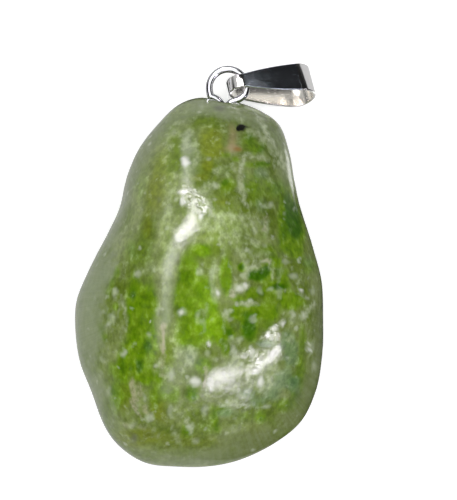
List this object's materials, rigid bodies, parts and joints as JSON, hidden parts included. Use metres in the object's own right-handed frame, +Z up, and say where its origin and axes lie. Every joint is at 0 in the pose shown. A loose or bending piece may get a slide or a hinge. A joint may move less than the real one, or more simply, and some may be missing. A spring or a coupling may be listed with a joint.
{
  "type": "peridot pendant stone",
  "caption": "Tumbled polished peridot pebble with a silver wire eye glued into its drilled end and a tapered strap bail swinging on the eye.",
  "frame": {"origin": "centre of the bounding box on the floor the stone lies on", "axes": "+Z up out of the stone's face, +Y along the stone towards the eye, +X across it"},
  "size_m": [0.0224, 0.0366, 0.0148],
  "materials": {
    "peridot": "tumbled to a gloss, cloudy and half see-through",
    "eye_silver": "polished silver wire",
    "bail_silver": "polished silver strap"
  },
  "bodies": {
    "stone": {"stone": "peridot", "eye_peg": "eye_silver"},
    "bail": {"bail": "bail_silver"}
  },
  "joints": [
    {"name": "bail_swing", "type": "hinge", "parent": "stone", "child": "bail", "pos_m": [0.00259, 0.01599, 0.0043], "axis": [0, 0, 1], "range_deg": [0, 150]}
  ]
}
